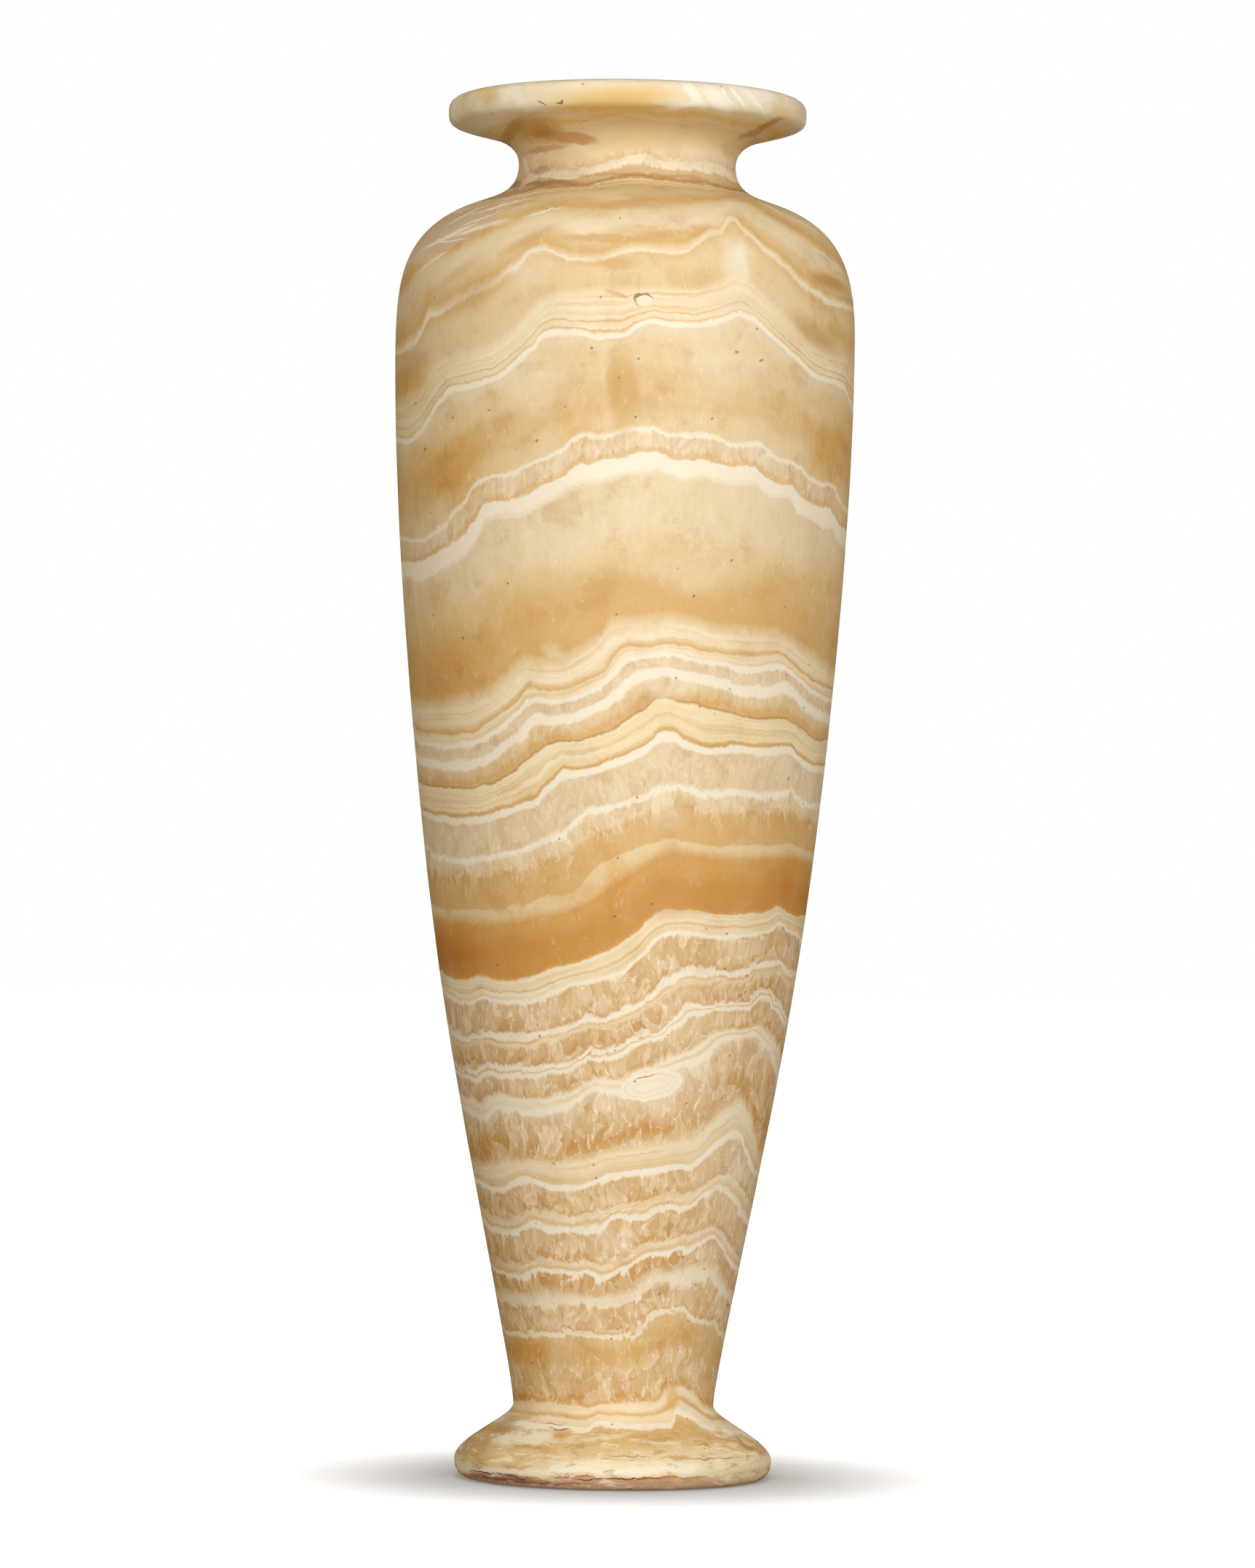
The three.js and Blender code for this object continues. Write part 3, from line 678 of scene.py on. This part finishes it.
def reaching(spots, bottom, top):
    """The clouds or marks that show between two heights."""
    for spot in spots:
        _, height, width, tall, lean = spot[0]
        lean = math.radians(lean)
        reach = math.hypot(width * math.sin(lean), tall * math.cos(lean)) + MARK_REACH
        if bottom < height + reach and height - reach < top:
            yield spot


# The Texture Coordinate node's output that gives a place on the object itself.
OBJECT_COORDINATES = 3


def alabaster(bottom, top):
    """The stone's finish for the part of the vase between two heights."""
    stone = Finish(bpy.data.materials.new(f"banded_alabaster_up_to_{top}"))
    coordinates = stone.node("TexCoord", {}, {}, OBJECT_COORDINATES)
    place = stone.node("VectorMath", {"operation": "SCALE"}, {0: coordinates, "Scale": 1 / MM})
    x, y, z = stone.parts("XYZ", place)

    # Behind, the beds go on from both silhouettes but arch in another way.
    behind = stone.ease(y, 0, 70)
    slow_wave = stone.node("Math", {"operation": "SINE"}, {0: x / 28 + 0.6})
    coarse = stone.grain(place, 45, 1) - 0.5
    bed_x = x * (1 - 0.5 * behind)
    bed_z = z + behind * (13 * slow_wave + 34 * coarse)

    # Small wobbles of every line, and the masses of upright crystals: blocks, and finer fibres in them.
    streaks = stone.grain(stone.stretch(place, 1.3, 7), 1, 3, 0.55)
    lumps = stone.grain(place, 9, 2)
    fine = stone.grain(place, 1.7, 3, 0.6)
    leaning = stone.pushed(place, 14, (14, 14, 0))
    _, blocks = stone.cells(leaning, 4.4, 10)
    bed_x = bed_x + (stone.grain(place, 7, 2) - 0.5) * 3
    height = (bed_z + (lumps - 0.5) * 2.4 + (fine - 0.5) * 1.5) / COLUMN_TOP

    # How far down the column a point is: the share of the bed that lies above it, between two bed lines.
    across = bed_x / (2 * BED_SPAN) + 0.5

    def bed_line(path):
        spots = [((px + BED_SPAN) / (2 * BED_SPAN), pz / COLUMN_TOP) for px, pz in path]
        return stone.node("FloatCurve", {"curve": spots}, {"Value": across})

    near = [bed for bed in BEDS if min(bed_z for _, bed_z in bed) < top + BED_REACH]
    skipped = len(BEDS) - len(near)
    near = [bed for bed in near if max(bed_z for _, bed_z in bed) > bottom - BED_REACH]
    near = BEDS[max(0, skipped - 1):skipped + len(near) + 1]
    level = middle(near[0])
    above = bed_line(near[0])
    for upper, lower in zip(near, near[1:]):
        below = bed_line(lower)
        thickness = middle(upper) - middle(lower)
        down, bed = above - height, above - below
        depth = stone.node("Math", {"operation": "DIVIDE", "use_clamp": True}, {0: down, 1: bed})
        level = level - thickness * depth
        above = below

    crystal_curve = [(at / COLUMN_TOP, strength) for at, strength in reversed(CRYSTALS)]
    crystals = stone.node("FloatCurve", {"curve": crystal_curve}, {"Value": level / COLUMN_TOP})
    level = level + crystals * ((streaks - 0.5) * 5 + (blocks - 0.5) * 3.2)

    # The column's tones, in ramps of at most 28 stops that follow one another downwards.
    colour = None
    for first in range(0, len(COLUMN) - 1, RAMP_STOPS - 1):
        run = COLUMN[first:first + RAMP_STOPS]
        high_end, low_end = run[0][0], run[-1][0]
        if low_end > middle(near[0]) + LEVEL_REACH or high_end < middle(near[-1]) - LEVEL_REACH:
            continue
        length = high_end - low_end
        stops = [((at - low_end) / length, paint(*TONES[tone])) for at, tone in reversed(run)]
        tones = stone.node("ValToRGB", {"stops": stops}, {"Fac": (level - low_end) / length})
        taking = Wire(stone, tones.socket.node.outputs["Alpha"])
        if colour is None:
            colour, takes_stain = tones, taking
        else:
            reached = stone.node("Math", {"operation": "LESS_THAN"}, {0: level, 1: high_end})
            colour = stone.mix(colour, tones, reached)
            takes_stain = takes_stain + (taking - takes_stain) * reached

    # The crystals catch the light one by one, some milky and some amber, with pale seams and flecks between.
    PALE_CRYSTAL = paint(247, 231, 203)
    AMBER_CRYSTAL = paint(188, 132, 72)
    to_fibre, fibres = stone.cells(stone.pushed(leaning, 3, (2, 2, 2)), 1.8, 7)
    colour = stone.mix(colour, PALE_CRYSTAL, stone.ease(blocks, 0.45, 1) * crystals * 0.35)
    colour = stone.mix(colour, AMBER_CRYSTAL, stone.ease(blocks, 0.5, 0) * crystals * 0.24)
    colour = stone.mix(colour, PALE_CRYSTAL, stone.ease(fibres, 0.6, 1) * crystals * 0.4)
    colour = stone.mix(colour, AMBER_CRYSTAL, stone.ease(fibres, 0.4, 0) * crystals * 0.2)
    edges = {"Vector": stone.stretch(leaning, 4.4, 10), "Scale": 1.0}
    seam = stone.ease(stone.node("TexVoronoi", {"feature": "DISTANCE_TO_EDGE"}, edges), 0.07, 0.0)
    colour = stone.mix(colour, PALE_CRYSTAL, seam * stone.ease(streaks, 0.48, 0.62) * crystals * 0.8)
    colour = stone.mix(colour, AMBER_CRYSTAL, stone.ease(streaks, 0.46, 0.3) * crystals * 0.3)

    # Fine growth lines that follow the beds, and soft mottling through the whole block.
    line_place = stone.node("CombineXYZ", {}, {0: x / 60, 1: y / 60, 2: level / 1.4})
    growth = stone.grain(line_place, 1, 2, 0.6)
    milky = stone.ease(takes_stain, 0.8, 0.5) * stone.ease(takes_stain, 0.2, 0.42)
    colour = stone.mix(colour, paint(206, 150, 82), stone.ease(growth, 0.5, 0.3) * milky * 0.3)
    colour = stone.mix(colour, paint(255, 248, 232), stone.ease(growth, 0.5, 0.7) * milky * 0.35)
    mottling = stone.grain(place, 16, 6, 0.7)
    colour = stone.mix(colour, paint(190, 134, 68), stone.ease(mottling, 0.5, 0.32) * takes_stain * 0.32)
    milkiness = 0.34 - 0.26 * takes_stain
    colour = stone.mix(colour, paint(250, 238, 212), stone.ease(mottling, 0.5, 0.68) * milkiness)

    # The clouds and single marks of the side in front, which fade out towards the back.
    front = stone.node("CombineXYZ", {}, {0: x, 2: z})
    cloudy = stone.pushed(front, 13, (18, 0, 18))
    GOLD_STAIN_AND_EDGE_SHADE = (0.94, 0.79, 0.52, 1)
    without_marks = colour
    # Gold stains, and with them the painted shade that darkens the sides along the outline as seen in front.
    for spot, strength in reaching(STAINS_AND_EDGE_SHADE, bottom, top):
        cloud = stone.patch(cloudy, spot, strength, 0.8)
        colour = stone.mix(colour, GOLD_STAIN_AND_EDGE_SHADE, cloud * takes_stain, "MULTIPLY")
    for spot, strength in reaching(MILK, bottom, top):
        colour = stone.mix(colour, paint(247, 236, 212), stone.patch(cloudy, spot, strength * 0.75, 0.85))

    close = stone.pushed(stone.pushed(front, 5, (2.4, 0, 2.4)), 1.6, (0.7, 0, 0.9))
    for spot, tone, strength, fade in reaching(MARKS, bottom, top):
        colour = stone.mix(colour, paint(*tone), stone.patch(close, spot, strength, fade))
    colour = stone.mix(colour, without_marks, behind)

    # The rim's top and back are milky with gold clouds, like its front, which keeps its own marks.
    if top > RIM_FROM:
        on_rim = stone.ease(z, RIM_FROM, RIM_FROM + 3) * stone.ease(y, -64, -52)
        swirls = stone.grain(stone.pushed(place, 24, (34, 34, 34)), 30, 3)
        colour = stone.mix(colour, paint(230, 196, 128), stone.ease(swirls, 0.48, 0.68) * on_rim * 0.8)
        colour = stone.mix(colour, paint(252, 246, 230), stone.ease(swirls, 0.48, 0.36) * on_rim * 0.8)

    # The foot is cloudier than the rest, with milk and rust drawn out along it.
    if bottom < 0:
        on_foot = stone.ease(z, FOOT_TOP, FOOT_TOP - 7)
        smears = stone.grain(stone.stretch(stone.pushed(place, 9, (9, 9, 3)), 9, 2.2), 1, 4, 0.6)
        colour = stone.mix(colour, paint(246, 232, 200), stone.ease(smears, 0.52, 0.66) * on_foot * 0.7)
        colour = stone.mix(colour, paint(192, 146, 82), stone.ease(smears, 0.47, 0.34) * on_foot * 0.6)

    # Small pits with dirt in them, and flecks of pale crystal, all over.
    to_pit, pitted = stone.cells(place, 7, 7)
    pit = stone.ease(to_pit, 0.085, 0.04) * stone.ease(pitted, 0.55, 0.6)
    for spot_x, spot_z in PITS:
        if bottom - MARK_REACH < spot_z < top + MARK_REACH:
            hand_placed = stone.patch(close, (spot_x, spot_z, 0.7, 0.5, 20), 1, 0.5)
            pit = stone.node("Math", {"operation": "MAXIMUM"}, {0: pit, 1: hand_placed})
    colour = stone.mix(colour, paint(120, 86, 48), pit * 0.6)
    fleck = stone.ease(to_fibre, 0.3, 0.1) * stone.ease(fibres, 0.75, 0.8)
    colour = stone.mix(colour, paint(253, 246, 230), fleck * (0.12 + 0.5 * crystals))

    # An old hand polish: silky, uneven by a few hundredths of a millimetre, and sunk in at the pits.
    shine = 0.33 + 0.14 * fine + 0.08 * streaks
    relief = 0.6 * fine + 0.4 * streaks - 3 * pit
    bumps = stone.node("Bump", {}, {"Height": relief, "Distance": RELIEF_DEPTH * MM, "Strength": 1.0})
    polished = {"Base Color": colour, "Roughness": shine, "Normal": bumps, "Specular IOR Level": 0.18}
    surface = stone.node("BsdfPrincipled", {}, polished)
    stone.node("OutputMaterial", {}, {"Surface": surface})
    return stone.owner


for bottom, top in zip(ZONES, ZONES[1:]):
    vase.data.materials.append(alabaster(bottom, top))
for face in vase.data.polygons:
    face.material_index = sum(face.center.z > top * MM for top in ZONES[1:-1])
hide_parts("vase")
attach(vase, "root")

# The table is a plain white sheet, wide enough that no edge of it shows from any side. It glows more with
# every step away from the vase, so that it reads plain white further out, and its glow is dimmed round the
# foot, which paints a soft shadow there over the shadow that the lamps cast. It throws no light back on the
# vase.
TABLE_HALF = 12
BELOW_FOOT = 0.3
table_mesh = bpy.data.meshes.new("table")
corners = [(-1, -1), (1, -1), (1, 1), (-1, 1)]
spread = [(cx * TABLE_HALF, cy * TABLE_HALF, -BELOW_FOOT * MM) for cx, cy in corners]
table_mesh.from_pydata(spread, [], [(0, 1, 2, 3)])
table = bpy.data.objects.new("table", table_mesh)
bpy.context.collection.objects.link(table)
white = Finish(bpy.data.materials.new("white_table"))
spot_on_table = white.node("TexCoord", {}, {}, OBJECT_COORDINATES)
away = white.node("VectorMath", {"operation": "LENGTH"}, {0: spot_on_table}, 1)
# Painted shadow: the glow falls from full at 0.18 m to a twentieth at 0.03 m from the middle, round the foot.
glow_dimmed_as_painted_shadow = white.mix((0, 0, 0, 1), (1, 1, 1, 1), white.ease(away, 0.03, 0.18, 0.05, 1.0))
sheet = {"Base Color": (0.55, 0.58, 0.62, 1), "Roughness": 0.9, "Specular IOR Level": 0.0}
sheet |= {"Emission Color": glow_dimmed_as_painted_shadow, "Emission Strength": 1.0}
white.node("OutputMaterial", {}, {"Surface": white.node("BsdfPrincipled", {}, sheet)})
table.data.materials.append(white.owner)
table.visible_diffuse = False
table.visible_glossy = False

# The studio: one large soft light beside the camera, a weaker one overhead, two behind the vase for its back,
# and a white room that is kept dim, so that the sides of the vase turn dark.
def soft_light(name, place, aim, width, height, power, tint=(1, 1, 1), mirrored=True):
    """A rectangular lamp that shines at its aim, and that shows in the polish unless mirrored is False."""
    lamp = bpy.data.lights.new(name, "AREA")
    lamp.color = tint
    lamp.shape = "RECTANGLE"
    lamp.size, lamp.size_y, lamp.energy = width, height, power
    made = bpy.data.objects.new(name, lamp)
    made.location = place
    made.rotation_mode = "QUATERNION"
    made.rotation_quaternion = (Vector(aim) - Vector(place)).to_track_quat("-Z", "Y")
    made.visible_camera = False
    made.visible_glossy = mirrored
    bpy.context.collection.objects.link(made)


WARM = (1, 0.92, 0.8)
soft_light("front_light", (0.3, -2.3, 0.34), (0, 0, 0.26), 2.6, 1.5, 64)
soft_light("top_light", (0, -0.9, 2.1), (0, 0, 0.2), 1.4, 1.4, 9)
soft_light("rear_left_light", (-1.5, 1.75, 0.36), (0, 0, 0.26), 0.8, 1.3, 19, WARM, False)
soft_light("rear_right_light", (1.5, 1.75, 0.36), (0, 0, 0.26), 0.8, 1.3, 19, WARM, False)

room = Finish(bpy.data.worlds.new("white_studio"))
bpy.context.scene.world = room.owner
seen = room.node("LightPath", {}, {}, "Is Camera Ray")
mirrored = room.node("LightPath", {}, {}, "Is Glossy Ray")
dim = room.node("Background", {}, {"Color": (1, 0.83, 0.6, 1), "Strength": 0.26 - 0.21 * mirrored})
bright = room.node("Background", {}, {"Color": (1, 1, 1, 1), "Strength": 1.0})
room.node("OutputWorld", {}, {"Surface": room.node("MixShader", {}, {0: seen, 1: dim, 2: bright})})

bpy.context.scene.view_settings.view_transform = "Standard"

# The camera stands 2.4 m in front, a little lower than the middle of the vase, tilted up by one degree and
# rolled so that the vase leans slightly to the right.
CAMERA_PLACE = (2.75, -2376, 219.07)
TILT_UP = math.radians(1.021)
ROLL = math.radians(0.64)
camera_data = bpy.data.cameras.new("camera")
camera_data.lens = 144.27
camera_data.sensor_width = 36
camera = bpy.data.objects.new("camera", camera_data)
camera.location = Vector(CAMERA_PLACE) * 0.001
turn = Matrix.Rotation(math.pi / 2 + TILT_UP, 4, "X") @ Matrix.Rotation(ROLL, 4, "Z")
camera.rotation_mode = "QUATERNION"
camera.rotation_quaternion = turn.to_quaternion()
bpy.context.collection.objects.link(camera)
bpy.context.scene.camera = camera
